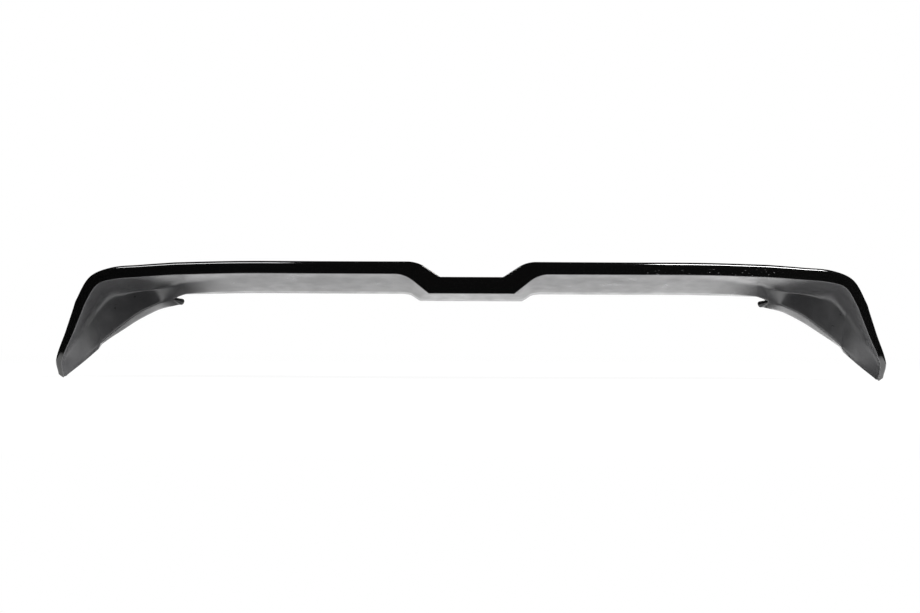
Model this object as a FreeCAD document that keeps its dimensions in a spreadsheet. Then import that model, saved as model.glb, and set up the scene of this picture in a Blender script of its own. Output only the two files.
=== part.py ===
"""Rear roof spoiler cap: one formed plastic sheet with a rolled trailing edge and two end fins.

X runs across the car, +Y points to the car's front and +Z up. The outside of the right half is
drawn as stations, from the middle of the notch to the tip of the fin. Each station is a line across
the sheet: leading edge, flange bend, crest of the skin, trailing edge, lower edge of the band.
Rails join the same point of all stations, and ruled faces between rails make the sheet.
"""

import FreeCAD, Part
import os

Vector = FreeCAD.Vector

# Driving dimensions in millimetres: alias, value, what it is
SIZES = [
    ("sheet_wall", 4.0, "thickness of the sheet"),
    ("edge_roll", 7.0, "length taken off each side of the trailing edge by its roll"),
    ("band_height", 19.5, "rear band on the straight runs"),
    ("band_height_notch", 24.5, "rear band in the notch"),
    ("band_undercut", -1.0, "lower edge of the band ahead of the trailing edge, or minus behind"),
    ("band_corner_shift", 17.0, "how far the band's notch corners lie outside the edge's"),
    ("band_width_fin", 16.5, "rear band at the top of the fins"),
    ("band_width_tip", 10.0, "rear band at the fin tip"),
    ("notch_half_floor", 45.0, "half width of the notch floor at the trailing edge"),
    ("notch_half_top", 80.0, "half width of the notch at the top"),
    ("notch_depth", 23.0, "drop of the trailing edge in the notch"),
    ("notch_shoulder", 14.0, "length over which the top corner of the notch is rounded"),
    ("skin_chord", 190.0, "trailing edge to leading edge, along the car"),
    ("skin_drop", 43.5, "trailing edge to leading edge, downwards"),
    ("skin_drop_notch", 31.0, "the same in the notch"),
    ("skin_camber", 3.0, "rise of the skin's middle above a straight line"),
    ("lead_half_floor", 76.0, "half width of the notch floor at the leading edge"),
    ("lead_half_top", 92.0, "half width of the notch top at the leading edge"),
    ("flange_width", 20.0, "flange along the leading edge"),
    ("flange_width_end", 4.0, "the same at the jog"),
    ("flange_fall", 3.0, "fall of that flange"),
    ("crest_share", 0.22, "share of the skin that the bend at the crest takes on each side"),
    ("droop_start", 335.0, "where the trailing edge starts to fall to the corner"),
    ("corner_start", 527.0, "where the trailing edge starts to turn down"),
    ("corner_droop", 10.0, "fall of the trailing edge there"),
    ("corner_sweep", 43.0, "forward sweep of the trailing edge there"),
    ("corner_mid_out", 559.0, "middle of the corner, half width"),
    ("corner_mid_down", 24.0, "middle of the corner, below the run"),
    ("corner_mid_sweep", 48.0, "middle of the corner, forward"),
    ("fin_top_out", 580.0, "top of the straight fin edge, half width"),
    ("fin_top_down", 59.0, "top of the straight fin edge, below the run"),
    ("fin_top_sweep", 54.0, "top of the straight fin edge, forward"),
    ("fin_low_out", 609.0, "foot of the straight fin edge, half width"),
    ("fin_low_down", 146.0, "foot of the straight fin edge, below the run"),
    ("fin_low_sweep", 60.0, "foot of the straight fin edge, forward"),
    ("tip_out", 606.0, "fin tip, half width"),
    ("tip_down", 167.0, "fin tip, below the run"),
    ("tip_sweep", 70.0, "fin tip, forward"),
    ("hook_out", 435.0, "where the fin flange starts, half width"),
    ("hook_run", 7.0, "length of the step down to the fin flange"),
    ("hook_drop", 16.0, "height of that step"),
    ("relief_radius", 6.5, "round relief above the hook"),
    ("brow_place", 0.47, "middle of the brow over the fin, from the hook's end to the corner"),
    ("brow_share", 0.3, "its place on the fin flange, from the hook to the jog"),
    ("corner_share", 0.6, "place of the corner's start on the fin flange"),
    ("corner_mid_share", 0.85, "place of the corner's middle on the fin flange"),
    ("brow_inset", 33.0, "trailing edge to the crest at the brow, as seen from behind"),
    ("fin_inset", 20.0, "the same at the top of the fin"),
    ("tip_inset", 3.0, "the same at the tip"),
    ("crest_depth_share", 0.85, "share of the fin's depth that lies behind its crest"),
    ("flange_sag_place", 0.378, "corner point of the fin flange's arc, from the hook's end to the jog"),
    ("flange_sag_down", 69.5, "corner point of that arc, below the run"),
    ("flange_sag_ahead", 212.0, "corner point of that arc, forward"),
    ("crescent_rise", 7.0, "extra rise of the fin flange at its widest"),
    ("jog_out", 553.0, "end of the fin flange, half width"),
    ("jog_down", 121.5, "end of the fin flange, below the run"),
    ("jog_ahead", 158.0, "end of the fin flange, forward"),
    ("jog_run", 5.5, "length of the small step there"),
    ("jog_step", 7.0, "height of the small step there"),
    ("jog_share", 0.12, "place of the step's end on the straight fin edge"),
    ("fin_bend_share", 0.15, "share of the lower fin's panel beside its cut edge"),
    ("fin_low_share", 0.88, "place of the fin edge's foot on the lower edge"),
    ("lead_tip_out", 599.5, "lower edge at the tip, half width"),
    ("lead_tip_down", 171.5, "lower edge at the tip, below the run"),
    ("lead_tip_ahead", 98.0, "lower edge at the tip, forward"),
]

SHEET = "Sizes"

# First station past the notch, from where the rails run smoothly on to the tip
SMOOTH_FROM = 4


def make_sheet(doc):
    """Spreadsheet with one row for each driving dimension."""
    sheet = doc.addObject("Spreadsheet::Sheet", SHEET)
    for row, (alias, value, note) in enumerate(SIZES, start=1):
        sheet.set("A%d" % row, note)
        sheet.set("B%d" % row, str(value))
        sheet.setAlias("B%d" % row, alias)
    doc.recompute()
    return sheet


def blend(a, b, share):
    """Point at a share of the way from a to b."""
    return a + (b - a) * share


class Station:
    """Outside of the sheet at one place along the trailing edge."""

    def __init__(self, edge, band, lead, bend, crest):
        self.edge = edge
        self.band = band
        self.lead = lead
        self.bend = bend
        self.crest = crest

    def profile(self, size):
        """Outer points from leading edge to band, with the crest bent over three points."""
        below = blend(self.crest, self.bend, size.crest_share)
        above = blend(self.crest, self.edge, size.crest_share)
        top = blend(blend(below, self.crest, 0.5), blend(self.crest, above, 0.5), 0.5)
        return [self.lead, self.bend, below, top, above, self.edge, self.band]


def front_direction(start, end):
    """Unit vector from start to end as seen from behind, with no depth."""
    step = Vector(end.x - start.x, 0, end.z - start.z)
    return step.normalize()


def inward_direction(before, after):
    """Unit vector across the trailing edge towards the inside, as seen from behind."""
    along = front_direction(before, after)
    return Vector(along.z, 0, -along.x)


def edge_point(size, out):
    """Trailing edge on the run: level, then falling to the corner, and swept forward."""
    fall = max(0.0, (out - size.droop_start) / (size.corner_start - size.droop_start))
    sweep = max(0.0, (out - size.notch_half_top) / (size.corner_start - size.notch_half_top))
    return Vector(out, size.corner_sweep * sweep**2, -size.corner_droop * fall**2)


def plain_station(size, edge, band, lead):
    """Station of the run or the notch, where the skin is one shallow arch."""
    bend = lead + Vector(0, -size.flange_width, size.flange_fall)
    crest = blend(edge, bend, 0.5) + Vector(0, 0, size.skin_camber)
    return Station(edge, band, lead, bend, crest)


def notch_stations(size):
    """Middle of the notch, its floor corner, and its top corner as start, corner and end."""
    floor_z = -size.notch_depth
    band_drop = Vector(size.band_corner_shift, size.band_undercut, 0)
    floor_edge = Vector(size.notch_half_floor, 0, floor_z)
    floor_band = floor_edge + band_drop - Vector(0, 0, size.band_height_notch)
    floor_lead = Vector(size.lead_half_floor, size.skin_chord, floor_z - size.skin_drop_notch)
    floor = plain_station(size, floor_edge, floor_band, floor_lead)
    middle = plain_station(
        size,
        Vector(0, floor_edge.y, floor_edge.z),
        Vector(0, floor_band.y, floor_band.z),
        Vector(0, floor_lead.y, floor_lead.z),
    )
    top_edge = Vector(size.notch_half_top, 0, 0)
    top_band = top_edge + band_drop - Vector(0, 0, size.band_height)
    top_lead = Vector(size.lead_half_top, size.skin_chord, -size.skin_drop)
    corner = plain_station(size, top_edge, top_band, top_lead)
    share = size.notch_shoulder / (top_edge - floor_edge).Length
    start = plain_station(
        size,
        blend(top_edge, floor_edge, share),
        blend(top_band, floor_band, share),
        blend(top_lead, floor_lead, share),
    )
    onward = Vector(size.notch_shoulder, 0, 0)
    end = plain_station(size, top_edge + onward, top_band + onward, top_lead + onward)
    return middle, floor, start, corner, end


def run_station(size, out, drop):
    """Station of the straight run at a half width, with its leading edge a drop below it."""
    edge = edge_point(size, out)
    band = edge + Vector(0, size.band_undercut, -size.band_height)
    lead = edge + Vector(0, size.skin_chord, -drop)
    return plain_station(size, edge, band, lead)


def fin_station(size, edge, inward, lead, bend, inset, band_width):
    """Station of the brow or the fin: a wall from the edge to the crest, then the inner panel."""
    crest = edge + inward * inset
    crest.y = blend(edge, lead, size.crest_depth_share).y
    band = edge + inward * band_width + Vector(0, size.band_undercut, 0)
    if bend is None:
        bend = blend(lead, crest, size.fin_bend_share)
    return Station(edge, band, lead, bend, crest)


def fin_lead(size, start, share):
    """Lower edge from the hook to the jog: one arc, as a curve with one corner point."""
    end = Vector(size.jog_out, size.jog_ahead, -size.jog_down)
    corner_out = start.x + (end.x - start.x) * size.flange_sag_place
    corner = Vector(corner_out, size.flange_sag_ahead, -size.flange_sag_down)
    return blend(blend(start, corner, share), blend(corner, end, share), share)


def fin_flange_bend(size, lead, share):
    """Bend of the fin's flange, which narrows and is highest halfway between hook and jog."""
    width = size.flange_width + (size.flange_width_end - size.flange_width) * share
    rise = size.flange_fall + size.crescent_rise * 4.0 * share * (1.0 - share)
    return lead + Vector(0, -width, rise)


def brow_stations(size, hook):
    """Stations from the hook round the corner to the top of the straight fin edge."""
    brow_out = hook.edge.x + (size.corner_start - hook.edge.x) * size.brow_place
    edges = [
        hook.edge,
        edge_point(size, brow_out),
        edge_point(size, size.corner_start),
        Vector(size.corner_mid_out, size.corner_mid_sweep, -size.corner_mid_down),
        Vector(size.fin_top_out, size.fin_top_sweep, -size.fin_top_down),
        Vector(size.fin_low_out, size.fin_low_sweep, -size.fin_low_down),
    ]
    shares = [0.0, size.brow_share, size.corner_share, size.corner_mid_share, 1.0]
    insets = [size.brow_inset] * 3
    insets.append(0.5 * (size.brow_inset + size.fin_inset))
    insets.append(size.fin_inset)
    widths = [size.band_height] * 3
    widths.append(0.5 * (size.band_height + size.band_width_fin))
    widths.append(size.band_width_fin)
    stations = []
    for place in range(1, len(shares)):
        lead = fin_lead(size, hook.lead, shares[place])
        bend = fin_flange_bend(size, lead, shares[place])
        before = place if shares[place] == 1.0 else place - 1
        inward = inward_direction(edges[before], edges[place + 1])
        stations.append(
            fin_station(size, edges[place], inward, lead, bend, insets[place], widths[place])
        )
    return stations


def tip_stations(size):
    """Stations from the jog to the tip, the last one flat so that the tip can be closed."""
    top = Vector(size.fin_top_out, size.fin_top_sweep, -size.fin_top_down)
    low = Vector(size.fin_low_out, size.fin_low_sweep, -size.fin_low_down)
    tip = Vector(size.tip_out, size.tip_sweep, -size.tip_down)
    lead_start = Vector(size.jog_out + size.jog_run, size.jog_ahead, -size.jog_down - size.jog_step)
    lead_end = Vector(size.lead_tip_out, size.lead_tip_ahead, -size.lead_tip_down)
    inward = inward_direction(top, low)
    stations = []
    for share in (size.jog_share, 0.5, 1.0):
        inset = size.fin_inset + (size.tip_inset - size.fin_inset) * share
        width = size.band_width_fin + (size.band_width_tip - size.band_width_fin) * share
        lead = blend(lead_start, lead_end, share * size.fin_low_share)
        bend = None
        if share == size.jog_share:
            lead = lead_start
            bend = lead + Vector(0, -size.flange_width_end, size.flange_fall + size.jog_step)
        edge = blend(top, low, share)
        stations.append(fin_station(size, edge, inward, lead, bend, inset, width))
    across = front_direction(tip, lead_end)
    stations.append(
        fin_station(size, tip, across, lead_end, None, size.tip_inset, size.band_width_tip)
    )
    return stations


def face_normals(grid, row, column):
    """Outward unit normals of the faces that meet at one point of a grid of points."""
    normals = []
    for side in (-1, 1):
        for turn in (-1, 1):
            inside_rows = 0 <= row + side < len(grid)
            inside_columns = 0 <= column + turn < len(grid[0])
            if inside_rows and inside_columns:
                along = (grid[row + side][column] - grid[row][column]) * side
                across = (grid[row][column + turn] - grid[row][column]) * turn
                normals.append(across.cross(along).normalize())
    return normals


def inner_point(point, normals, wall):
    """Point one wall inside all the faces around an outer point, reached by small corrections."""
    offset = Vector(0, 0, 0)
    for _ in range(60):
        for normal in normals:
            offset += normal * (wall - offset.dot(normal))
    return point - offset


def rolled(profile, size):
    """Outer profile with its trailing edge rolled over through four points."""
    edge = profile[-2]
    on_skin = edge + (profile[-3] - edge).normalize() * size.edge_roll
    on_band = edge + (profile[-1] - edge).normalize() * size.edge_roll
    roll = []
    for share in (0.0, 1.0 / 3.0, 2.0 / 3.0, 1.0):
        roll.append(blend(blend(on_skin, edge, share), blend(edge, on_band, share), share))
    return profile[:-2] + roll + profile[-1:]


def sheet_loops(size, stations):
    """Closed line of points round the sheet's section at each station, outside then inside."""
    grid = [station.profile(size) for station in stations]
    loops = []
    for row, profile in enumerate(grid):
        inner = []
        for column, point in enumerate(profile):
            normals = face_normals(grid, row, column)
            inner.append(inner_point(point, normals, size.sheet_wall))
        if row == len(grid) - 1:
            across = front_direction(profile[-2], profile[0])
            flat = Vector(across.z, 0, -across.x)
            inner = [point - flat * (point - profile[0]).dot(flat) for point in inner]
        loops.append(rolled(profile, size) + inner[::-1])

    # The notch floor is level, so its section runs on unchanged from the middle to its corner
    loops[1] = [Vector(end.x, start.y, start.z) for start, end in zip(loops[0], loops[1])]
    return loops


def rail_direction(points, places, at, first, last):
    """Direction of a rail at one station, from its neighbours between two stations."""
    before = max(at - 1, first)
    after = min(at + 1, last)
    return (points[after] - points[before]) * (1.0 / (places[after] - places[before]))


def rail_curve(kind, points, places, first, last, broken):
    """One rail over one stretch: a straight line, a rounded corner or a smooth curve.

    A smooth rail runs on from one stretch to the next, unless it is broken by a step.
    """
    curve = Part.BSplineCurve()
    stretch = points[first:last + 1]
    if kind == "smooth":
        lowest, highest = (first, last) if broken else (SMOOTH_FROM, len(points) - 1)
        curve.interpolate(
            Points=stretch,
            Parameters=places[first:last + 1],
            InitialTangent=rail_direction(points, places, first, lowest, highest),
            FinalTangent=rail_direction(points, places, last, lowest, highest),
        )
    else:
        order = len(stretch)
        curve.buildFromPolesMultsKnots(stretch, [order, order], [0.0, 1.0], False, order - 1)
    return curve


def flat_face(rail, following):
    """Face of one plane between two straight rails."""
    corners = [rail.StartPoint, following.StartPoint, following.EndPoint, rail.EndPoint]
    return Part.Face(Part.makePolygon(corners + corners[:1]))


def ruled_face(rail, following):
    """Face of straight lines from each place of one rail to the same place of the next."""
    surface = Part.BSplineSurface()
    poles = [rail.getPoles(), following.getPoles()]
    knots = rail.getKnots()
    repeats = rail.getMultiplicities()
    surface.buildFromPolesMultsKnots(
        poles, [2, 2], repeats, [0.0, 1.0], knots, False, False, 1, rail.Degree
    )
    return surface.toShape()


def half_solid(stations, loops, stretches):
    """Solid of the right half: ruled faces between neighbouring rails, closed at both ends."""
    places = [0.0]
    for before, after in zip(stations, stations[1:]):
        places.append(places[-1] + (after.edge - before.edge).Length)
    corners = len(loops[0])
    flange = (0, 1, corners - 2, corners - 1)
    faces = []
    for kind, first, last in stretches:
        rails = []
        for column in range(corners):
            points = [loop[column] for loop in loops]
            rails.append(rail_curve(kind, points, places, first, last, column in flange))
        for rail, following in zip(rails, rails[1:] + rails[:1]):
            make_face = flat_face if kind == "flat" else ruled_face
            faces.append(make_face(rail, following))
    for loop in (loops[0], loops[-1]):
        faces.append(Part.Face(Part.makePolygon(loop + loop[:1])))
    shell = Part.makeShell(faces)
    shell.sewShape()
    solid = Part.makeSolid(shell)
    if solid.Volume < 0:
        solid.reverse()
    return solid


def check_document(doc):
    """Stop if any object of the document failed or has no valid shape."""
    for item in doc.Objects:
        if "Invalid" in item.State or "Error" in item.State:
            raise RuntimeError("%s failed: %s" % (item.Label, item.State))
        if hasattr(item, "Shape") and (item.Shape.isNull() or not item.Shape.isValid()):
            raise RuntimeError("%s has no valid shape" % item.Label)


def main():
    doc = FreeCAD.newDocument("roof_spoiler_cap")
    size = make_sheet(doc)

    middle, floor, start, corner, end = notch_stations(size)
    hook = run_station(size, size.hook_out, size.skin_drop)
    hook_end = run_station(size, size.hook_out + size.hook_run, size.skin_drop)
    for point in (hook_end.lead, hook_end.bend):
        point.z -= size.hook_drop
    run_middle = 0.5 * (end.edge.x + size.droop_start)
    stations = [middle, floor, start, corner, end]
    stations += [run_station(size, out, size.skin_drop) for out in (run_middle, size.droop_start)]
    stations += [hook, hook_end] + brow_stations(size, hook_end) + tip_stations(size)
    stretches = [
        ("flat", 0, 1),
        ("line", 1, 2),
        ("corner", 2, 4),
        ("smooth", SMOOTH_FROM, 7),
        ("smooth", 7, 8),
        ("smooth", 8, 12),
        ("smooth", 12, 13),
        ("smooth", 13, 16),
    ]
    loops = sheet_loops(size, stations)

    # The origin is the middle of the flange's underside, where the cap is bonded on
    origin = blend(loops[0][-1], loops[0][-2], 0.5)
    loops = [[point - origin for point in loop] for loop in loops]

    half = doc.addObject("Part::Feature", "right_half")
    half.Shape = half_solid(stations, loops, stretches)

    mirrored = doc.addObject("Part::Mirroring", "left_half")
    mirrored.Source = half
    mirrored.Normal = Vector(1, 0, 0)

    whole = doc.addObject("Part::MultiFuse", "both_halves")
    whole.Shapes = [half, mirrored]
    whole.Refine = True

    # Round relief above each hook, cut along the car through the flange only
    reliefs = []
    relief_at = blend(hook.lead, hook_end.lead, 0.5) - origin
    for name, side in (("right_relief", 1), ("left_relief", -1)):
        cutter = doc.addObject("Part::Cylinder", name)
        cutter.setExpression("Radius", SHEET + ".relief_radius")
        cutter.setExpression("Height", SHEET + ".skin_chord")
        turn = FreeCAD.Rotation(Vector(1, 0, 0), -90)
        base = Vector(side * relief_at.x, relief_at.y - size.skin_chord / 2, relief_at.z)
        cutter.Placement = FreeCAD.Placement(base, turn)
        reliefs.append(cutter)
    both = doc.addObject("Part::MultiFuse", "reliefs")
    both.Shapes = reliefs

    spoiler = doc.addObject("Part::Cut", "spoiler_shell")
    spoiler.Label = "spoiler_shell"
    spoiler.Base = whole
    spoiler.Tool = both
    doc.recompute()
    check_document(doc)

    os.makedirs("parts", exist_ok=True)
    spoiler.Shape.exportStep("parts/%s.step" % spoiler.Label)
    box = spoiler.Shape.BoundBox
    print("solids", len(spoiler.Shape.Solids), "faces", len(spoiler.Shape.Faces))
    print("volume cm3 %.1f" % (spoiler.Shape.Volume / 1000))
    print("box", [round(v, 2) for v in (box.XMin, box.YMin, box.ZMin, box.XMax, box.YMax, box.ZMax)])


main()
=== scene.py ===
"""Roof spoiler cap: the formed sheet as one dense surface with its finishes, and a studio stage.

The sheet is worked out from the trailing edge of the straight run, with X across the car, Y to its
front and Z up, then moved to the frame of the solid, whose origin is under the leading flange.
"""

import math

import bpy
import numpy as np
from mathutils import Matrix, Vector


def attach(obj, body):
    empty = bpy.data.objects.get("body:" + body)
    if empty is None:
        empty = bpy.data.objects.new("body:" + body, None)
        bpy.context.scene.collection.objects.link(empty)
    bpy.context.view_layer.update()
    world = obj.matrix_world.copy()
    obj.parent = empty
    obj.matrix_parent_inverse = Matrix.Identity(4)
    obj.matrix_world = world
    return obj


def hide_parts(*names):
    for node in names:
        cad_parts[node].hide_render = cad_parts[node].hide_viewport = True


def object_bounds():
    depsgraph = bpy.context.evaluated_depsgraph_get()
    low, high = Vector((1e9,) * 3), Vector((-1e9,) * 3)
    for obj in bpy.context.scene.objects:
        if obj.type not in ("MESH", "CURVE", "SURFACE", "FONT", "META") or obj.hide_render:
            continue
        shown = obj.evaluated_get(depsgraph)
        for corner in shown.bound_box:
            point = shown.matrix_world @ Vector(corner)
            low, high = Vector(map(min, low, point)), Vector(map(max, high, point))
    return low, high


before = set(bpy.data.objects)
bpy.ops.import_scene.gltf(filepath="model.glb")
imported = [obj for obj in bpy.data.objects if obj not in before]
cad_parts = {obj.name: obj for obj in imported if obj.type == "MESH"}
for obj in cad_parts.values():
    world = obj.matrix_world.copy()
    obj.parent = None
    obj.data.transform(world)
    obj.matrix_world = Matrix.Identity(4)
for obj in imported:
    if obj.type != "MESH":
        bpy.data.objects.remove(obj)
CAD_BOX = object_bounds()

bl_info = {
    "name": "Roof spoiler cap",
    "version": (1, 0, 0),
    "blender": (4, 5, 0),
    "location": "3D View > Sidebar > Spoiler",
    "description": "Builds a formed sheet spoiler cap with its finishes and a studio stage",
    "category": "Object",
}

NODE = "spoiler_shell"
BODY = "root"
MM = 0.001
IMAGE_WIDTH = 920
IMAGE_HEIGHT = 613
SENSOR = 36.0


def length(name, description, millimetres):
    """Property for one size, given here in millimetres."""
    return bpy.props.FloatProperty(
        name=name, description=description, default=millimetres * MM, unit="LENGTH"
    )


def share_of(name, description, default):
    """Property for a share between 0 and 1."""
    return bpy.props.FloatProperty(
        name=name, description=description, default=default, subtype="FACTOR"
    )


def watts(name, description, default):
    """Property for the power of a light."""
    return bpy.props.FloatProperty(name=name, description=description, default=default, unit="POWER")


def hex_colour(name, description, default):
    """Property for one sRGB colour as hex."""
    return bpy.props.StringProperty(name=name, description=description, default=default)


class SpoilerSizes(bpy.types.PropertyGroup):
    """Sizes of the sheet."""

    wall: length("Wall", "Thickness of the sheet", 4.0)
    edge_roll: length("Edge roll", "Reach of the roll each side of the trailing edge", 7.0)
    notch_roll: length("Notch roll", "The same in the notch, where the edge is tighter", 2.0)
    inner_roll: length("Inner roll", "Reach of the same corner inside", 1.5)
    cut_round: length("Cut round", "Softened corner of the trimmed edges", 0.6)
    band_height: length("Band height", "Rear band on the runs", 19.5)
    band_height_notch: length("Band height in the notch", "Rear band in the notch", 24.5)
    band_undercut: length("Band undercut", "Lower edge of the band ahead of the edge", -1.0)
    band_corner_shift: length("Band corner shift", "Band's notch corners outside the edge's", 17.0)
    band_width_fin: length("Band width on the fin", "Rear band on the fins", 16.5)
    band_width_tip: length("Band width at the tip", "Rear band at the fin tip", 10.0)
    notch_half_floor: length("Notch half floor", "Half width of the notch floor", 45.0)
    notch_half_top: length("Notch half top", "Half width of the notch at the top", 80.0)
    notch_depth: length("Notch depth", "Drop of the trailing edge in the notch", 23.0)
    notch_shoulder: length("Notch shoulder", "Rounding of the notch's top corner", 14.0)
    skin_chord: length("Skin chord", "Trailing edge to leading edge along the car", 190.0)
    skin_drop: length("Skin drop", "Trailing edge to leading edge downwards", 43.5)
    skin_drop_notch: length("Skin drop in the notch", "The same in the notch", 31.0)
    skin_camber: length("Skin camber", "Rise of the skin's middle", 3.0)
    lead_half_floor: length("Leading half floor", "Notch floor at the leading edge", 76.0)
    lead_half_top: length("Leading half top", "Notch top at the leading edge", 92.0)
    flange_width: length("Flange width", "Flange along the leading edge", 20.0)
    flange_fall: length("Flange fall", "Fall of that flange", 3.0)
    bend_round: length("Flange bend", "Reach of the flange's bend each side", 2.5)
    crest_share: share_of("Crest share", "Share of the skin taken by the crest's bend", 0.22)
    droop_start: length("Droop start", "Where the trailing edge starts to fall", 335.0)
    corner_start: length("Corner start", "Where the trailing edge turns down", 527.0)
    corner_droop: length("Corner droop", "Fall of the trailing edge there", 10.0)
    corner_sweep: length("Corner sweep", "Forward sweep of the trailing edge there", 43.0)
    hook_out: length("Hook", "Half width where the fin flange starts", 428.0)
    hook_run: length("Hook run", "Length of the step down to the fin flange", 14.0)
    hook_drop: length("Hook drop", "Height of that step", 16.0)
    hook_reach: length("Hook reach", "How far the hook's point reaches inboard", 5.0)
    hook_height: length("Hook height", "Height of the hook's point", 6.5)
    relief_width: length("Relief width", "Round relief above the hook, across", 17.0)
    relief_land: length("Relief land", "Flange's bend past the hook's end", 7.0)
    relief_drop: length("Relief drop", "Fall of the flange's bend to the hook's end", 10.5)
    step_flange: length("Step flange", "Width left of the flange at the small step", 12.0)
    step_rise: length("Step rise", "Rise left of the flange at the small step", 2.0)
    brow_crest_share: share_of("Brow crest share", "The crest's bend over the fin", 0.06)
    brow_place: share_of("Brow place", "Middle of the brow from the hook to the corner", 0.47)
    brow_inset: length("Brow inset", "Trailing edge to the crest at the brow", 33.0)
    fin_inset: length("Fin inset", "The same at the top of the fin", 20.0)
    tip_inset: length("Tip inset", "The same at the tip", 3.0)
    crest_depth_share: share_of("Crest depth", "Share of the fin's depth behind its crest", 0.85)
    crescent_width: length("Crescent width", "Extra width of the fin flange at its widest", 6.0)
    crescent_rise: length("Crescent rise", "Extra rise of the fin flange at its widest", 7.0)
    fin_bend_share: share_of("Fin bend share", "Share of the lower fin by its cut edge", 0.15)


class SpoilerFinish(bpy.types.PropertyGroup):
    """Colours of the sheet and of the stage, and the sizes of their grain."""

    gloss_black: hex_colour("Gloss black", "Smooth outside of the sheet", "#030303")
    inside_black: hex_colour("Inside black", "Satin inside of the sheet", "#272728")
    inside_bloom: hex_colour("Inside bloom", "Paler patches of the inside", "#3a3a3b")
    cut_grey: hex_colour("Cut grey", "Trimmed edges of the sheet", "#2b2b2c")
    scuff_grey: hex_colour("Scuff grey", "Fine scuffs on the band", "#8a8a8a")
    floor_white: hex_colour("Floor white", "Paper of the floor", "#f4f4f4")
    # Painted dark patch of the floor, seen only in reflections and bounces, standing in for the unlit
    # room; the camera sees white there
    painted_dark_floor: hex_colour("Painted dark floor", "Black cloth in front of the object", "#0a0a0a")
    fibre_size: length("Fibre size", "Fibres of the paper", 2.5)
    peel_size: length("Peel size", "Wave of the orange peel in the gloss", 7.0)
    grain_size: length("Grain size", "Grain pressed into the inside", 1.4)
    bloom_size: length("Bloom size", "Paler patches of the inside", 20.0)
    scuff_size: length("Scuff size", "Fine scuffs on the band", 3.0)


class SpoilerStage(bpy.types.PropertyGroup):
    """Camera and lights."""

    camera_distance: length("Camera distance", "From the trailing edge", 4500.0)
    pixel_size: length("Pixel size", "Width at the trailing edge that one pixel covers", 1.444)
    middle_column: bpy.props.FloatProperty(
        name="Middle column", description="Pixel column of the notch's middle", default=471.5
    )
    run_row: bpy.props.FloatProperty(
        name="Run row", description="Pixel row of the run's upper outline", default=261.5
    )
    camera_roll: bpy.props.FloatProperty(
        name="Camera roll",
        description="Turn about the line of sight",
        default=math.radians(0.25),
        subtype="ANGLE",
    )
    floor_gap: length("Floor gap", "Floor below the fin tips", 0.5)
    room_glow: share_of("Room glow", "Brightness of the dark room", 0.01)
    left_watts: watts("Left softbox", "Wide light above the left end", 35.0)
    right_watts: watts("Right softbox", "Wide light above the right end", 145.0)
    left_strip_watts: watts("Left strip", "Thin light that the left of the roll mirrors", 35.0)
    right_strip_watts: watts("Right strip", "Thin light that the right of the roll mirrors", 90.0)


# Fixed points of the right half: half width, forward and up
CORNER_MID = np.array([559.0, 48.0, -24.0]) * MM
FIN_TOP = np.array([580.0, 54.0, -59.0]) * MM
FIN_LOW = np.array([608.5, 60.0, -146.0]) * MM
FIN_TIP = np.array([606.0, 70.0, -167.0]) * MM
FLANGE_SAG = np.array([484.0, 212.0, -71.5]) * MM
JOG = np.array([553.0, 158.0, -124.5]) * MM
JOG_END = np.array([558.5, 152.0, -132.5]) * MM
LEAD_TIP = np.array([599.5, 98.0, -171.5]) * MM
FLANGE_SHARES = (0.3, 0.6, 0.85, 1.0)

# Crest at both ends of the hook's step: share of the way to the flange's bend, and fall
HOOK_CRESTS = ((0.79, 23.0 * MM), (0.835, 26.0 * MM))

# Places on the straight fin edge and on the lower edge
JOG_SHARE = 0.12
FIN_LOW_SHARE = 0.88

# Small move that keeps the finely rounded sheet inside the box of the solid
SEAT = np.array([0.0, 0.12, -0.12]) * MM

# Rails of the outside, from the leading edge to the lower edge of the band
LEAD, BEND, CREST, EDGE, BAND = range(5)

# Rows of the surface between neighbouring stations, from the middle of the notch to the tip
ROWS = (4, 10, 12, 26, 26, 18, 40, 24, 24, 24, 24, 6, 24, 24, 16)
SHOULDER_START, SHOULDER_END, HOOK, HOOK_END, FLANGE_END, STEP_END = 2, 3, 6, 7, 11, 12

# Points along each part of the section, round the relief and round the hook's point
FLANGE_POINTS, BEND_POINTS, PANEL_POINTS, CREST_POINTS = 4, 7, 10, 11
WALL_POINTS, ROLL_POINTS, BAND_POINTS = 10, 11, 4
RELIEF_POINTS, NOSE_POINTS = 19, 9

# Share of the relief's drop that the bend has made where the hook starts
RELIEF_START_SHARE = 0.3

# Largest share of a face that the rounded flange bend and the rolled edge may take
BEND_LIMIT, ROLL_LIMIT = 0.3, 0.4

# Faces that meet at more than this angle keep a crisp edge
CRISP_ANGLE = math.radians(28.0)

# Refraction of the gloss cap layer and of plain ABS
GLOSS_IOR, ABS_IOR = 1.53, 1.5

# Strength and depth of the orange peel and of the pressed grain
PEEL_STRENGTH, PEEL_DEPTH = 0.006, 0.001
GRAIN_STRENGTH, GRAIN_DEPTH = 0.08, 0.0005

# Roughness: gloss to scuffed, smooth to bloomed inside, and the cut and paper ranges
GLOSS_ROUGHNESS = (0.06, 0.6)
INSIDE_ROUGHNESS = (0.2, 0.44)
CUT_ROUGHNESS = (0.35, 0.6)
PAPER_ROUGHNESS = (0.85, 1.0)

# Scuffs: stretch of the noise, then the values where they start and are full
SCUFF_STRETCH = (0.5, 1.0, 2.0)
SCUFF_NOISE = (0.68, 0.76)
SCUFF_INBOARD = (0.22, 0.27)
SCUFF_OUTBOARD = (0.46, 0.40)
SCUFF_TOP = (0.047, 0.042)
SCUFF_FACING = (-0.4, -0.7)

# Paper: where the painted dark patch, seen only in reflections and bounces, gives way to white, and
# where the glow grows to full
PAINTED_DARK_EDGE = (-0.5, -0.25)
GLOW_FADE = (0.8, 2.5)
GLOW_NEAR = 0.96

# Half width of the paper floor, in metres
FLOOR_REACH = 6.0

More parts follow.
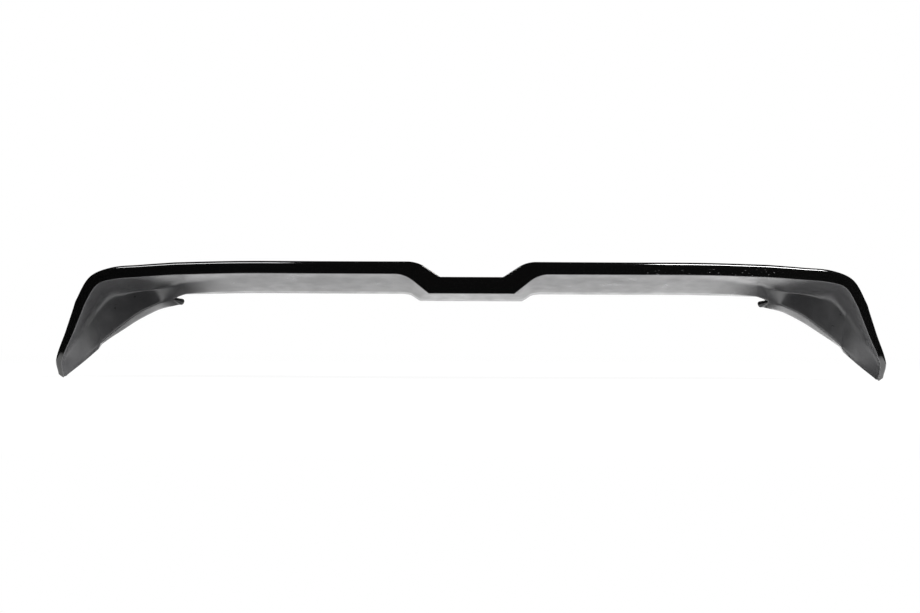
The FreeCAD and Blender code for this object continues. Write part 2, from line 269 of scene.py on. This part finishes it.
# Soft lights, in metres: sizes, place, point aimed at, and how far ahead the strip hangs
LIGHT_WIDTH, SOFTBOX_HEIGHT, STRIP_HEIGHT = 1.0, 1.3, 0.35
LIGHT_OUT, LIGHT_BACK, LIGHT_UP = 1.2, -1.6, 1.8
AIM_OUT = 0.5
STRIP_AHEAD = 0.05


def blend(a, b, share):
    """Point at a share of the way from a to b."""
    return a + (b - a) * share


def unit(vectors):
    """The same vectors with length one."""
    return vectors / np.linalg.norm(vectors, axis=-1, keepdims=True)


def inward_direction(before, after):
    """Unit vector across the trailing edge towards the inside, as seen from behind."""
    along = unit((after - before) * (1.0, 0.0, 1.0))
    return np.array([along[2], 0.0, -along[0]])


def edge_point(size, out):
    """Trailing edge on the run: level, then a square-law fall and sweep to the corner."""
    fall = max(0.0, (out - size.droop_start) / (size.corner_start - size.droop_start))
    sweep = max(0.0, (out - size.notch_half_top) / (size.corner_start - size.notch_half_top))
    return np.array([out, size.corner_sweep * sweep**2, -size.corner_droop * fall**2])


def plain_station(size, edge, band, lead):
    """Station of the notch or the run, where the skin is one shallow arch."""
    bend = lead + (0.0, -size.flange_width, size.flange_fall)
    crest = blend(edge, bend, 0.5) + (0.0, 0.0, size.skin_camber)
    return np.array([lead, bend, crest, edge, band])


def notch_stations(size):
    """Middle of the notch, its floor corner, and both ends of its rounded shoulder."""
    floor_z = -size.notch_depth
    shift = np.array([size.band_corner_shift, size.band_undercut, 0.0])
    floor_edge = np.array([size.notch_half_floor, 0.0, floor_z])
    floor_band = floor_edge + shift - (0.0, 0.0, size.band_height_notch)
    floor_lead = np.array([size.lead_half_floor, size.skin_chord, floor_z - size.skin_drop_notch])
    floor = plain_station(size, floor_edge, floor_band, floor_lead)
    top_edge = np.array([size.notch_half_top, 0.0, 0.0])
    top_band = top_edge + shift - (0.0, 0.0, size.band_height)
    top_lead = np.array([size.lead_half_top, size.skin_chord, -size.skin_drop])
    top = plain_station(size, top_edge, top_band, top_lead)
    share = size.notch_shoulder / np.linalg.norm(top_edge - floor_edge)
    onward = (size.notch_shoulder, 0.0, 0.0)
    return [floor * (0.0, 1.0, 1.0), floor, blend(top, floor, share), top + onward]


def run_station(size, out):
    """Station of the straight run at a half width."""
    edge = edge_point(size, out)
    band = edge + (0.0, size.band_undercut, -size.band_height)
    return plain_station(size, edge, band, edge + (0.0, size.skin_chord, -size.skin_drop))


def run_stations(size):
    """Three stations of the run, and the end of the step down to the fin flange."""
    first = size.notch_half_top + size.notch_shoulder
    middle = 0.5 * (first + size.droop_start)
    stations = [run_station(size, out) for out in (middle, size.droop_start, size.hook_out)]
    end = run_station(size, size.hook_out + size.hook_run)
    end[LEAD, 2] -= size.hook_drop
    end[BEND] += (size.relief_land, 0.0, -size.relief_drop)
    stations[-1][BEND, 2] -= RELIEF_START_SHARE * size.relief_drop
    stations.append(end)
    for station, (share, inset) in zip(stations[-2:], HOOK_CRESTS):
        station[CREST, 1] = blend(station[EDGE, 1], station[BEND, 1], share)
        station[CREST, 2] = station[EDGE, 2] - inset
    return stations


def fin_station(size, edge, inward, lead, bend, inset, width):
    """Station of the brow or the fin: a wall to the crest, then the inner panel."""
    crest = edge + inward * inset
    crest[1] = blend(edge, lead, size.crest_depth_share)[1]
    band = edge + inward * width + (0.0, size.band_undercut, 0.0)
    if bend is None:
        bend = blend(lead, crest, size.fin_bend_share)
    return np.array([lead, bend, crest, edge, band])


def brow_stations(size, hook_end):
    """Stations round the corner, where the lower edge is one arc from the hook to the jog."""
    brow_out = blend(hook_end[EDGE, 0], size.corner_start, size.brow_place)
    edges = [
        hook_end[EDGE],
        edge_point(size, brow_out),
        edge_point(size, size.corner_start),
        CORNER_MID,
        FIN_TOP,
        FIN_LOW,
    ]
    middle_inset = 0.5 * (size.brow_inset + size.fin_inset)
    middle_width = 0.5 * (size.band_height + size.band_width_fin)
    insets = (size.brow_inset, size.brow_inset, middle_inset, size.fin_inset)
    widths = (size.band_height, size.band_height, middle_width, size.band_width_fin)
    befores = (edges[0], edges[1], edges[2], edges[4])
    start = hook_end[LEAD]
    stations = []
    for place, share in enumerate(FLANGE_SHARES):
        lead = blend(blend(start, FLANGE_SAG, share), blend(FLANGE_SAG, JOG, share), share)
        swell = 4.0 * share * (1.0 - share)
        width = blend(size.flange_width, size.step_flange, share**2) + size.crescent_width * swell
        rise = blend(size.flange_fall, size.step_rise, share) + size.crescent_rise * swell
        bend = lead + (0.0, -width, rise)
        inward = inward_direction(befores[place], edges[place + 2])
        stations.append(
            fin_station(size, edges[place + 1], inward, lead, bend, insets[place], widths[place])
        )
    return stations


def tip_stations(size):
    """Stations down the straight fin edge, and the tip."""
    inward = inward_direction(FIN_TOP, FIN_LOW)
    step_bend = blend(JOG, JOG_END, 0.5) + (0.0, -size.step_flange, size.step_rise)
    leads = (JOG_END, blend(JOG_END, LEAD_TIP, 0.5 * FIN_LOW_SHARE))
    leads += (blend(JOG_END, LEAD_TIP, FIN_LOW_SHARE),)
    bends = (step_bend, None, None)
    stations = []
    for share, lead, bend in zip((JOG_SHARE, 0.5, 1.0), leads, bends):
        edge = blend(FIN_TOP, FIN_LOW, share)
        inset = blend(size.fin_inset, size.tip_inset, share)
        width = blend(size.band_width_fin, size.band_width_tip, share)
        stations.append(fin_station(size, edge, inward, lead, bend, inset, width))
    across = unit((LEAD_TIP - FIN_TIP) * (1.0, 0.0, 1.0))
    tip = fin_station(size, FIN_TIP, across, LEAD_TIP, None, size.tip_inset, size.band_width_tip)
    return stations + [tip]


def rail_directions(keys, places):
    """Directions into and out of each station.

    They come from both neighbours, but are one-sided at the notch's floor and, on the leading
    edge, at the steps of the hook and the jog. The shoulder takes the lines beside it.
    """
    steps = (keys[1:] - keys[:-1]) / np.diff(places)[:, None, None]
    spans = (places[2:] - places[:-2])[:, None, None]
    both = np.concatenate([steps[:1], (keys[2:] - keys[:-2]) / spans, steps[-1:]])
    broken = np.zeros(both.shape, bool)
    broken[:SHOULDER_START] = True
    for station in (HOOK, HOOK_END, FLANGE_END, STEP_END):
        broken[station, LEAD] = True
    into = np.where(broken, np.concatenate([steps[:1], steps]), both)
    out = np.where(broken, np.concatenate([steps, steps[-1:]]), both)
    for station, line in ((SHOULDER_START, SHOULDER_START - 1), (SHOULDER_END, SHOULDER_END)):
        into[station] = steps[line]
        out[station] = steps[line]
    return into, out


def along_path(points, count):
    """Points evenly spaced along a line through the given points, without its last one."""
    steps = np.linalg.norm(np.diff(points, axis=0), axis=1)
    places = np.concatenate([[0.0], np.cumsum(steps)])
    wanted = np.linspace(0.0, places[-1], count, endpoint=False)
    return np.stack([np.interp(wanted, places, points[:, axis]) for axis in range(3)], axis=1)


def hook_path(size, hook, hook_end, count):
    """Leading edge round the relief: a quarter of an ellipse, then the hook's point.

    A point of the ellipse is its start, plus its width times the sine of an angle outboard, less
    its height times one minus the cosine downwards. The point of the hook is a half circle.
    """
    angle = np.linspace(0.0, 0.5 * math.pi, RELIEF_POINTS)[:, None]
    turn = np.linspace(0.0, math.pi, NOSE_POINTS)[:, None]
    over, up = np.array([1.0, 0.0, 0.0]), np.array([0.0, 0.0, 1.0])
    height = hook[LEAD, 2] - hook_end[LEAD, 2] - size.hook_height
    arc = hook[LEAD] + over * size.relief_width * np.sin(angle) - up * height * (1 - np.cos(angle))
    radius = 0.5 * size.hook_height
    tongue = hook_end[LEAD] - over * size.hook_reach + up * radius
    nose = tongue - over * radius * np.sin(turn) + up * radius * np.cos(turn)
    return along_path(np.concatenate([arc, nose, hook_end[LEAD][None]]), count)


def half_rails(size):
    """Dense rails of the right half's outside: row, rail, coordinate.

    Between two stations a rail is the cubic that has their points and directions at its ends. At
    the hook the bend runs ahead, so that the flange leaves the relief open.
    """
    stations = notch_stations(size) + run_stations(size)
    stations += brow_stations(size, stations[-1]) + tip_stations(size)
    keys = np.array(stations)
    steps = np.linalg.norm(np.diff(keys[:, EDGE], axis=0), axis=1)
    into, out = rail_directions(keys, np.concatenate([[0.0], np.cumsum(steps)]))
    rails = []
    for start, rows in enumerate(ROWS):
        t = np.linspace(0.0, 1.0, rows, endpoint=False)[:, None, None].repeat(len(keys[0]), axis=1)
        if start == HOOK:
            t[:, BEND] = 1.0 - (1.0 - t[:, BEND]) ** 3
        ends = keys[start] * (1 + 2 * t) * (1 - t) ** 2 + keys[start + 1] * t**2 * (3 - 2 * t)
        leans = out[start] * t * (1 - t) ** 2 + into[start + 1] * t**2 * (t - 1)
        rails.append(ends + leans * steps[start])
    rails.append(keys[-1:])
    rails[HOOK][:, LEAD] = hook_path(size, keys[HOOK], keys[HOOK_END], ROWS[HOOK])
    return np.concatenate(rails)


def both_sides(rails):
    """Rails of the whole width, from the left tip to the right tip."""
    left = rails[:0:-1] * (-1.0, 1.0, 1.0)
    return np.concatenate([left, rails])


def inner_rails(size, rails):
    """Rails of the inside: each one moved in by the wall along the normals of its two faces.

    A normal is the cross product of the step to the next rail and the rail's own direction. At a
    corner the move is the sum of both normals over one plus their product.
    """
    along = np.gradient(rails, axis=0)
    panel = unit(np.cross(rails[:, CREST] - rails[:, BEND], along[:, CREST]))
    wall = unit(np.cross(rails[:, EDGE] - rails[:, CREST], along[:, EDGE]))
    band = unit(np.cross(rails[:, BAND] - rails[:, EDGE], along[:, EDGE]))
    moves = np.empty_like(rails)
    moves[:, LEAD] = panel
    moves[:, BEND] = panel
    moves[:, CREST] = (panel + wall) / (1.0 + np.sum(panel * wall, axis=1, keepdims=True))
    moves[:, EDGE] = (wall + band) / (1.0 + np.sum(wall * band, axis=1, keepdims=True))
    moves[:, BAND] = band
    return rails - moves * size.wall


def straight(start, end, count):
    """Points from start towards end, without the end."""
    t = np.linspace(0.0, 1.0, count, endpoint=False)[:, None]
    return start[:, None] * (1 - t) + end[:, None] * t


def rounded(before, corner, after, reach_in, reach_out, count):
    """Parabola that rounds a corner, from a reach before it to a reach after it."""
    start = corner + unit(before - corner) * reach_in
    end = corner + unit(after - corner) * reach_out
    t = np.linspace(0.0, 1.0, count)[:, None]
    return start[:, None] * (1 - t) ** 2 + corner[:, None] * 2 * t * (1 - t) + end[:, None] * t**2


def gap(a, b):
    """Distance between the same points of two rails."""
    return np.linalg.norm(b - a, axis=1, keepdims=True)


def crest_shares(size, out):
    """Share of the skin bent at the crest: wide on the run and the fin, narrow under the brow."""
    start, end = size.hook_out + size.hook_run, size.corner_start + 0.5 * size.hook_run
    place = np.clip((np.abs(out) - start) / (end - start), 0.0, 1.0)
    return blend(size.crest_share, size.brow_crest_share, np.sin(math.pi * place))


def edge_rolls(size, out):
    """Reach of the roll at the trailing edge: tight up to the notch's top, then soon full."""
    start, end = size.notch_half_top - size.notch_shoulder, size.notch_half_top + size.notch_shoulder
    place = np.clip((np.abs(out) - start) / (end - start), 0.0, 1.0)
    return blend(size.notch_roll, size.edge_roll, place)


def section(size, rails, roll):
    """Points across one side of the sheet at every row, from the leading edge to the band."""
    lead, bend, crest, edge, band = (rails[:, rail] for rail in range(5))
    bend_in = np.minimum(size.bend_round, BEND_LIMIT * gap(lead, bend))
    bend_out = np.minimum(size.bend_round, BEND_LIMIT * gap(bend, crest))
    at_bend = rounded(lead, bend, crest, bend_in, bend_out, BEND_POINTS)
    share = crest_shares(size, edge[:, :1])
    crest_in = share * gap(bend, crest)
    crest_out = share * gap(crest, edge)
    at_crest = rounded(bend, crest, edge, crest_in, crest_out, CREST_POINTS)
    edge_in = np.minimum(roll, ROLL_LIMIT * gap(crest, edge))
    edge_out = np.minimum(roll, ROLL_LIMIT * gap(edge, band))
    at_edge = rounded(crest, edge, band, edge_in, edge_out, ROLL_POINTS)
    first = lead + unit(bend - lead) * size.cut_round
    last = band + unit(edge - band) * size.cut_round
    return np.concatenate(
        [
            straight(first, at_bend[:, 0], FLANGE_POINTS),
            at_bend,
            straight(at_bend[:, -1], at_crest[:, 0], PANEL_POINTS)[:, 1:],
            at_crest,
            straight(at_crest[:, -1], at_edge[:, 0], WALL_POINTS)[:, 1:],
            at_edge,
            straight(at_edge[:, -1], last, BAND_POINTS)[:, 1:],
            last[:, None],
        ],
        axis=1,
    )


def cut_points(size, start, end):
    """The two corners of a trimmed edge, each softened by the cut round."""
    step = unit(end - start) * size.cut_round
    return np.stack([start + step, end - step], axis=1)


def sheet_grid(size):
    """Closed sections of the sheet at every row, and how many points one side has."""
    outer = both_sides(half_rails(size))
    inner = inner_rails(size, outer)
    outside = section(size, outer, edge_rolls(size, outer[:, EDGE, :1]))
    inside = section(size, inner, size.inner_roll)
    band_cut = cut_points(size, outer[:, BAND], inner[:, BAND])
    lead_cut = cut_points(size, inner[:, LEAD], outer[:, LEAD])
    grid = np.concatenate([outside, band_cut, inside[:, ::-1], lead_cut], axis=1)
    middle_row = len(grid) // 2
    flange = outer[middle_row, BEND] - outer[middle_row, LEAD]
    normal = unit(np.array([0.0, flange[2], -flange[1]]))
    origin = outer[middle_row, LEAD] + 0.5 * flange - normal * size.wall
    return grid - origin + SEAT, outside.shape[1]


def grid_faces(rows, columns, side):
    """Quads of a closed tube of rows, with both ends closed by quads across the sheet.

    Column k of the outside faces column 2 * side + 1 - k of the inside.
    """
    row, column = np.meshgrid(np.arange(rows - 1), np.arange(columns), indexing="ij")
    following = (column + 1) % columns
    here, there = row * columns, (row + 1) * columns
    tube = np.stack([here + column, here + following, there + following, there + column], axis=-1)
    out = np.arange(side)
    across = np.stack([out, out + 1, 2 * side - out, 2 * side + 1 - out], axis=-1)
    lead_end = [[columns - 1, 0, 2 * side + 1, 2 * side + 2]]
    cap = np.concatenate([across, lead_end])
    right = cap + (rows - 1) * columns
    kinds = np.where(column < side - 1, 0, 2)
    kinds = np.where((column >= side + 2) & (column < 2 * side + 1), 1, kinds)
    faces = np.concatenate([tube.reshape(-1, 4), right, cap[:, ::-1]])
    return faces, np.concatenate([kinds.ravel(), np.full(2 * len(cap), 2)])


def linear(hex_text):
    """Linear RGBA of an sRGB hex colour."""
    values = [int(hex_text[place:place + 2], 16) / 255 for place in (1, 3, 5)]
    return [v / 12.92 if v <= 0.04045 else ((v + 0.055) / 1.055) ** 2.4 for v in values] + [1.0]


def add_node(tree, kind, links=(), **settings):
    """Add a node, set its properties and link or fill its inputs, given as name and value."""
    node = tree.nodes.new(kind)
    for name, value in settings.items():
        setattr(node, name, value)
    for name, value in links:
        if isinstance(value, bpy.types.NodeSocket):
            tree.links.new(value, node.inputs[name])
        else:
            node.inputs[name].default_value = value
    return node


def new_material(name):
    """Empty material with its output node and object coordinates."""
    material = bpy.data.materials.new(name)
    material.use_nodes = True
    tree = material.node_tree
    tree.nodes.clear()
    place = add_node(tree, "ShaderNodeTexCoord").outputs["Object"]
    return material, tree, place


def waves(finish_size):
    """Noise scale for a pattern of a real size."""
    return 1.0 / finish_size


def gloss_outside(finish):
    """Outside of the sheet: smooth black that mirrors the room, with a faint orange peel.

    Fine pale scuffs lie along the band on the right of the notch.
    """
    material, tree, place = new_material("ABS sheet, gloss cap layer, thermoformed")
    peel = add_node(
        tree, "ShaderNodeTexNoise",
        [("Vector", place), ("Scale", waves(finish.peel_size)), ("Detail", 1.0)],
    )
    bump = add_node(
        tree, "ShaderNodeBump",
        [("Height", peel.outputs["Fac"]), ("Strength", PEEL_STRENGTH), ("Distance", PEEL_DEPTH)],
    )
    stretched = add_node(
        tree, "ShaderNodeMapping", [("Vector", place), ("Scale", SCUFF_STRETCH)]
    )
    flecks = add_node(
        tree, "ShaderNodeTexNoise",
        [("Vector", stretched.outputs["Vector"]), ("Scale", waves(finish.scuff_size)), ("Detail", 3.0)],
    )
    split = add_node(tree, "ShaderNodeSeparateXYZ", [("Vector", place)])
    facing = add_node(tree, "ShaderNodeTexCoord").outputs["Normal"]
    turned = add_node(tree, "ShaderNodeSeparateXYZ", [("Vector", facing)])
    limits = (
        (flecks.outputs["Fac"], SCUFF_NOISE),
        (split.outputs["X"], SCUFF_INBOARD),
        (split.outputs["X"], SCUFF_OUTBOARD),
        (split.outputs["Z"], SCUFF_TOP),
        (turned.outputs["Y"], SCUFF_FACING),
    )
    scuff = None
    for value, (starts, full) in limits:
        mask = add_node(
            tree, "ShaderNodeMapRange",
            [("Value", value), ("From Min", starts), ("From Max", full)],
        ).outputs["Result"]
        if scuff is None:
            scuff = mask
        else:
            scuff = add_node(
                tree, "ShaderNodeMath", [(0, scuff), (1, mask)], operation="MULTIPLY"
            ).outputs["Value"]
    tint = add_node(
        tree, "ShaderNodeMix",
        [
            ("Factor", scuff),
            ("A", linear(finish.gloss_black)),
            ("B", linear(finish.scuff_grey)),
        ],
        data_type="RGBA",
    )
    matt = add_node(
        tree, "ShaderNodeMapRange",
        [("Value", scuff), ("To Min", GLOSS_ROUGHNESS[0]), ("To Max", GLOSS_ROUGHNESS[1])],
    )
    shader = add_node(
        tree, "ShaderNodeBsdfPrincipled",
        [
            ("Base Color", tint.outputs["Result"]),
            ("Roughness", matt.outputs["Result"]),
            ("IOR", GLOSS_IOR),
            ("Normal", bump.outputs["Normal"]),
        ],
    )
    add_node(tree, "ShaderNodeOutputMaterial", [("Surface", shader.outputs["BSDF"])])
    return material


def satin_inside(finish):
    """Inside of the sheet: satin black with a fine pressed grain and paler patches.

    It looks near black square on and pale grey where the light grazes it.
    """
    material, tree, place = new_material("ABS sheet, satin inside, thermoformed")
    grain = add_node(
        tree, "ShaderNodeTexNoise",
        [("Vector", place), ("Scale", waves(finish.grain_size)), ("Detail", 2.0)],
    )
    bloom = add_node(
        tree, "ShaderNodeTexNoise",
        [("Vector", place), ("Scale", waves(finish.bloom_size)), ("Detail", 4.0)],
    )
    bump = add_node(
        tree, "ShaderNodeBump",
        [("Height", grain.outputs["Fac"]), ("Strength", GRAIN_STRENGTH), ("Distance", GRAIN_DEPTH)],
    )
    tint = add_node(
        tree, "ShaderNodeMix",
        [
            ("Factor", bloom.outputs["Fac"]),
            ("A", linear(finish.inside_black)),
            ("B", linear(finish.inside_bloom)),
        ],
        data_type="RGBA",
    )
    matt = add_node(
        tree, "ShaderNodeMapRange",
        [
            ("Value", bloom.outputs["Fac"]),
            ("To Min", INSIDE_ROUGHNESS[0]),
            ("To Max", INSIDE_ROUGHNESS[1]),
        ],
    )
    shader = add_node(
        tree, "ShaderNodeBsdfPrincipled",
        [
            ("Base Color", tint.outputs["Result"]),
            ("Roughness", matt.outputs["Result"]),
            ("IOR", ABS_IOR),
            ("Normal", bump.outputs["Normal"]),
        ],
    )
    add_node(tree, "ShaderNodeOutputMaterial", [("Surface", shader.outputs["BSDF"])])
    return material


def trimmed_edge(finish):
    """Trimmed edges of the sheet: dull dark grey, a little uneven from the cutter."""
    material, tree, place = new_material("ABS sheet, trimmed edge, routed")
    marks = add_node(
        tree, "ShaderNodeTexNoise",
        [("Vector", place), ("Scale", waves(finish.grain_size)), ("Detail", 2.0)],
    )
    matt = add_node(
        tree, "ShaderNodeMapRange",
        [("Value", marks.outputs["Fac"]), ("To Min", CUT_ROUGHNESS[0]), ("To Max", CUT_ROUGHNESS[1])],
    )
    shader = add_node(
        tree, "ShaderNodeBsdfPrincipled",
        [
            ("Base Color", linear(finish.cut_grey)),
            ("Roughness", matt.outputs["Result"]),
            ("IOR", ABS_IOR),
        ],
    )
    add_node(tree, "ShaderNodeOutputMaterial", [("Surface", shader.outputs["BSDF"])])
    return material


def white_paper(finish):
    """Floor: white paper, shown to the camera as near pure white.

    A part of what the camera sees near the object still takes light and shadow. Ahead of a line in
    front of the object the floor is painted near black for every ray but the camera's: a painted dark
    patch that the camera sees as white, put there so that the band mirrors a dark room.
    front of the object the light falls on black cloth instead, so that the band mirrors a dark room.
    """
    material, tree, place = new_material("Paper, matt white, uncoated")
    fibres = add_node(
        tree, "ShaderNodeTexNoise",
        [("Vector", place), ("Scale", waves(finish.fibre_size)), ("Detail", 2.0)],
    )
    matt = add_node(
        tree, "ShaderNodeMapRange",
        [
            ("Value", fibres.outputs["Fac"]),
            ("To Min", PAPER_ROUGHNESS[0]),
            ("To Max", PAPER_ROUGHNESS[1]),
        ],
    )
    split = add_node(tree, "ShaderNodeSeparateXYZ", [("Vector", place)])
    # Painted dark patch: nearer the camera than this line the floor is near black for every ray but the
    # camera's
    white = add_node(
        tree, "ShaderNodeMapRange",
        [("Value", split.outputs["Y"]), ("From Min", PAINTED_DARK_EDGE[0]), ("From Max", PAINTED_DARK_EDGE[1])],
    )
    rays = add_node(tree, "ShaderNodeLightPath")
    shown = add_node(
        tree, "ShaderNodeMath",
        [(0, white.outputs["Result"]), (1, rays.outputs["Is Camera Ray"])], operation="MAXIMUM",
    )
    tint = add_node(
        tree, "ShaderNodeMix",
        [
            ("Factor", shown.outputs["Value"]),
            ("A", linear(finish.painted_dark_floor)),
            ("B", linear(finish.floor_white)),
        ],
        data_type="RGBA",
    )
    paper = add_node(
        tree, "ShaderNodeBsdfPrincipled",
        [
            ("Base Color", tint.outputs["Result"]),
            ("Roughness", matt.outputs["Result"]),
            ("Specular IOR Level", 0.0),
        ],
    )
    glow = add_node(tree, "ShaderNodeEmission", [("Color", (1.0, 1.0, 1.0, 1.0)), ("Strength", 1.0)])
    away = add_node(tree, "ShaderNodeVectorMath", [(0, place)], operation="LENGTH")
    fade = add_node(
        tree, "ShaderNodeMapRange",
        [
            ("Value", away.outputs["Value"]),
            ("From Min", GLOW_FADE[0]),
            ("From Max", GLOW_FADE[1]),
            ("To Min", GLOW_NEAR),
        ],
    )
    part = add_node(
        tree, "ShaderNodeMath",
        [(0, rays.outputs["Is Camera Ray"]), (1, fade.outputs["Result"])], operation="MULTIPLY",
    )
    mixed = add_node(
        tree, "ShaderNodeMixShader",
        [("Fac", part.outputs["Value"]), (1, paper.outputs["BSDF"]), (2, glow.outputs["Emission"])],
    )
    add_node(tree, "ShaderNodeOutputMaterial", [("Surface", mixed.outputs["Shader"])])
    return material


def new_object(name, points, faces, materials):
    """Mesh object at the origin, unscaled, with its materials."""
    mesh = bpy.data.meshes.new(name)
    mesh.from_pydata(points, [], faces)
    for material in materials:
        mesh.materials.append(material)
    thing = bpy.data.objects.new(name, mesh)
    bpy.context.scene.collection.objects.link(thing)
    return thing


class SPOILER_OT_make_sheet(bpy.types.Operator):
    """Build the formed sheet that stands for the whole spoiler cap"""

    bl_idname = "spoiler.make_sheet"
    bl_label = "Make sheet"

    def execute(self, context):
        size = context.scene.spoiler_sizes
        finish = context.scene.spoiler_finish
        grid, side = sheet_grid(size)
        rows, columns = grid.shape[:2]
        faces, kinds = grid_faces(rows, columns, side)
        materials = [gloss_outside(finish), satin_inside(finish), trimmed_edge(finish)]
        sheet = new_object("spoiler_sheet", grid.reshape(-1, 3), faces, materials)
        sheet.data.polygons.foreach_set("material_index", kinds.astype(np.int32))
        sheet.data.polygons.foreach_set("use_smooth", np.ones(len(kinds), bool))
        sheet.data.set_sharp_from_angle(angle=CRISP_ANGLE)
        sheet.data.update()
        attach(sheet, BODY)
        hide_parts(NODE)
        return {"FINISHED"}


def soft_light(name, place, target, height, power, mirrored):
    """Rectangular soft light aimed at a point, seen in gloss or only lighting."""
    lamp = bpy.data.lights.new(name, "AREA")
    lamp.shape = "RECTANGLE"
    lamp.size = LIGHT_WIDTH
    lamp.size_y = height
    lamp.energy = power
    thing = bpy.data.objects.new(name, lamp)
    thing.location = place
    thing.rotation_euler = (target - place).to_track_quat("-Z", "Y").to_euler()
    thing.visible_glossy = mirrored
    bpy.context.scene.collection.objects.link(thing)


def paper_floor(finish, floor_z):
    """Flat sheet of paper under the object."""
    corners = np.array([[-1.0, -1.0, 0.0], [1.0, -1.0, 0.0], [1.0, 1.0, 0.0], [-1.0, 1.0, 0.0]])
    points = corners * FLOOR_REACH + (0.0, 0.0, floor_z)
    paper = new_object("paper_floor", points, [range(len(corners))], [white_paper(finish)])


class SPOILER_OT_make_stage(bpy.types.Operator):
    """Set up the paper floor, the lights and the camera"""

    bl_idname = "spoiler.make_stage"
    bl_label = "Make stage"

    def execute(self, context):
        scene = context.scene
        stage = scene.spoiler_stage
        low, high = (np.array(corner) for corner in CAD_BOX)
        paper_floor(scene.spoiler_finish, low[2] - stage.floor_gap)
        lights = (
            ("left", -1.0, stage.left_watts, stage.left_strip_watts),
            ("right", 1.0, stage.right_watts, stage.right_strip_watts),
        )
        for name, side, power, strip_power in lights:
            place = Vector((side * LIGHT_OUT, LIGHT_BACK, LIGHT_UP))
            target = Vector((side * AIM_OUT, low[1], 0.0))
            soft_light(name + "_softbox", place, target, SOFTBOX_HEIGHT, power, False)
            nearer = place.lerp(target, STRIP_AHEAD)
            soft_light(name + "_strip", nearer, target, STRIP_HEIGHT, strip_power, True)

        room = bpy.data.worlds.new("dark_room")
        room.use_nodes = True
        tree = room.node_tree
        background = tree.nodes["Background"]
        background.inputs["Color"].default_value = (1.0, 1.0, 1.0, 1.0)
        rays = add_node(tree, "ShaderNodeLightPath")
        shown = add_node(
            tree, "ShaderNodeMath",
            [(0, rays.outputs["Is Camera Ray"]), (1, stage.room_glow)], operation="MAXIMUM",
        )
        tree.links.new(shown.outputs["Value"], background.inputs["Strength"])
        scene.world = room

        lens = bpy.data.cameras.new("photo_camera")
        lens.sensor_width = SENSOR
        lens.lens = SENSOR * stage.camera_distance / (IMAGE_WIDTH * stage.pixel_size)
        camera = bpy.data.objects.new("photo_camera", lens)
        across = (0.5 * IMAGE_WIDTH - stage.middle_column) * stage.pixel_size
        height = high[2] - (0.5 * IMAGE_HEIGHT - stage.run_row) * stage.pixel_size
        place = Vector((across, low[1] - stage.camera_distance, height))
        upright = Matrix.Rotation(0.5 * math.pi, 4, "X")
        rolled = Matrix.Rotation(stage.camera_roll, 4, "Z")
        camera.matrix_world = Matrix.Translation(place) @ upright @ rolled
        scene.collection.objects.link(camera)
        scene.camera = camera
        scene.view_settings.view_transform = "Standard"
        return {"FINISHED"}


class SPOILER_PT_panel(bpy.types.Panel):
    """Sidebar panel with the sizes and the two steps"""

    bl_idname = "SPOILER_PT_panel"
    bl_label = "Roof spoiler cap"
    bl_space_type = "VIEW_3D"
    bl_region_type = "UI"
    bl_category = "Spoiler"

    def draw(self, context):
        scene = context.scene
        for group in (scene.spoiler_sizes, scene.spoiler_finish, scene.spoiler_stage):
            box = self.layout.box()
            for name in group.__annotations__:
                box.prop(group, name)
        self.layout.operator(SPOILER_OT_make_sheet.bl_idname)
        self.layout.operator(SPOILER_OT_make_stage.bl_idname)


CLASSES = (
    SpoilerSizes,
    SpoilerFinish,
    SpoilerStage,
    SPOILER_OT_make_sheet,
    SPOILER_OT_make_stage,
    SPOILER_PT_panel,
)


def register():
    for item in CLASSES:
        bpy.utils.register_class(item)
    bpy.types.Scene.spoiler_sizes = bpy.props.PointerProperty(type=SpoilerSizes)
    bpy.types.Scene.spoiler_finish = bpy.props.PointerProperty(type=SpoilerFinish)
    bpy.types.Scene.spoiler_stage = bpy.props.PointerProperty(type=SpoilerStage)


def unregister():
    del bpy.types.Scene.spoiler_stage
    del bpy.types.Scene.spoiler_finish
    del bpy.types.Scene.spoiler_sizes
    for item in reversed(CLASSES):
        bpy.utils.unregister_class(item)


def main():
    register()
    bpy.ops.spoiler.make_sheet()
    bpy.ops.spoiler.make_stage()


if __name__ == "__main__":
    main()
